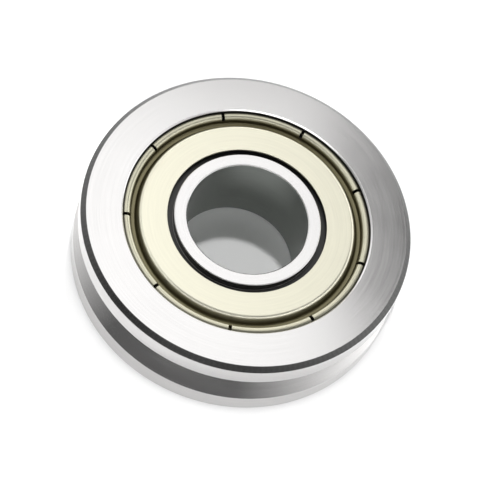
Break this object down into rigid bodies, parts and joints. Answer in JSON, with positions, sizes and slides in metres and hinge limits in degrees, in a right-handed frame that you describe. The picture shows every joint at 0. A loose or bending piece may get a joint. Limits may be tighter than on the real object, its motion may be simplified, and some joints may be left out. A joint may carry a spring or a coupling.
{
  "type": "v groove wheel",
  "caption": "Low round guide wheel: a shielded ball bearing whose thick outer ring has a V-shaped track round its rim, with a plain bore for an axle.",
  "frame": {"origin": "centre of the bore, halfway between the two end faces", "axes": "+Z along the bore's centreline, up out of the face that is uppermost when the wheel lies flat; X and Y lie in the middle plane of the V groove, +X through ball_1"},
  "size_m": [0.041, 0.041, 0.011],
  "materials": {
    "ring_steel": "ground and polished",
    "shield_steel": "pressed, pale yellow passivated",
    "cage_steel": "pressed, dull",
    "rivet_steel": "headed, bright",
    "ball_steel": "lapped, mirror bright"
  },
  "bodies": {
    "inner": {"inner_ring": "ring_steel"},
    "outer": {"outer_ring": "ring_steel", "shield_top": "shield_steel", "shield_bottom": "shield_steel"},
    "cage": {"cage_top": "cage_steel", "cage_bottom": "cage_steel", "cage_rivets": "rivet_steel"},
    "ball_1": {"ball_1": "ball_steel"},
    "ball_2": {"ball_2": "ball_steel"},
    "ball_3": {"ball_3": "ball_steel"},
    "ball_4": {"ball_4": "ball_steel"},
    "ball_5": {"ball_5": "ball_steel"},
    "ball_6": {"ball_6": "ball_steel"},
    "ball_7": {"ball_7": "ball_steel"},
    "ball_8": {"ball_8": "ball_steel"}
  },
  "joints": [
    {"name": "outer_spin", "type": "hinge", "parent": "inner", "child": "outer", "pos_m": [0, 0, 0], "axis": [0, 0, 1], "continuous": true},
    {"name": "cage_spin", "type": "hinge", "parent": "inner", "child": "cage", "pos_m": [0, 0, 0], "axis": [0, 0, 1], "continuous": true},
    {"name": "ball_1_roll", "type": "hinge", "parent": "cage", "child": "ball_1", "pos_m": [0.0125, 0, 0], "axis": [0, 0, 1], "continuous": true},
    {"name": "ball_2_roll", "type": "hinge", "parent": "cage", "child": "ball_2", "pos_m": [0.00884, 0.00884, 0], "axis": [0, 0, 1], "continuous": true},
    {"name": "ball_3_roll", "type": "hinge", "parent": "cage", "child": "ball_3", "pos_m": [0, 0.0125, 0], "axis": [0, 0, 1], "continuous": true},
    {"name": "ball_4_roll", "type": "hinge", "parent": "cage", "child": "ball_4", "pos_m": [-0.00884, 0.00884, 0], "axis": [0, 0, 1], "continuous": true},
    {"name": "ball_5_roll", "type": "hinge", "parent": "cage", "child": "ball_5", "pos_m": [-0.0125, 0, 0], "axis": [0, 0, 1], "continuous": true},
    {"name": "ball_6_roll", "type": "hinge", "parent": "cage", "child": "ball_6", "pos_m": [-0.00884, -0.00884, 0], "axis": [0, 0, 1], "continuous": true},
    {"name": "ball_7_roll", "type": "hinge", "parent": "cage", "child": "ball_7", "pos_m": [0, -0.0125, 0], "axis": [0, 0, 1], "continuous": true},
    {"name": "ball_8_roll", "type": "hinge", "parent": "cage", "child": "ball_8", "pos_m": [0.00884, -0.00884, 0], "axis": [0, 0, 1], "continuous": true}
  ],
  "couplings": [
    {"joint": "cage_spin", "follows": "outer_spin", "ratio": 0.61906},
    {"joint": "ball_1_roll", "follows": "outer_spin", "ratio": 1.9807},
    {"joint": "ball_2_roll", "follows": "outer_spin", "ratio": 1.9807},
    {"joint": "ball_3_roll", "follows": "outer_spin", "ratio": 1.9807},
    {"joint": "ball_4_roll", "follows": "outer_spin", "ratio": 1.9807},
    {"joint": "ball_5_roll", "follows": "outer_spin", "ratio": 1.9807},
    {"joint": "ball_6_roll", "follows": "outer_spin", "ratio": 1.9807},
    {"joint": "ball_7_roll", "follows": "outer_spin", "ratio": 1.9807},
    {"joint": "ball_8_roll", "follows": "outer_spin", "ratio": 1.9807}
  ]
}
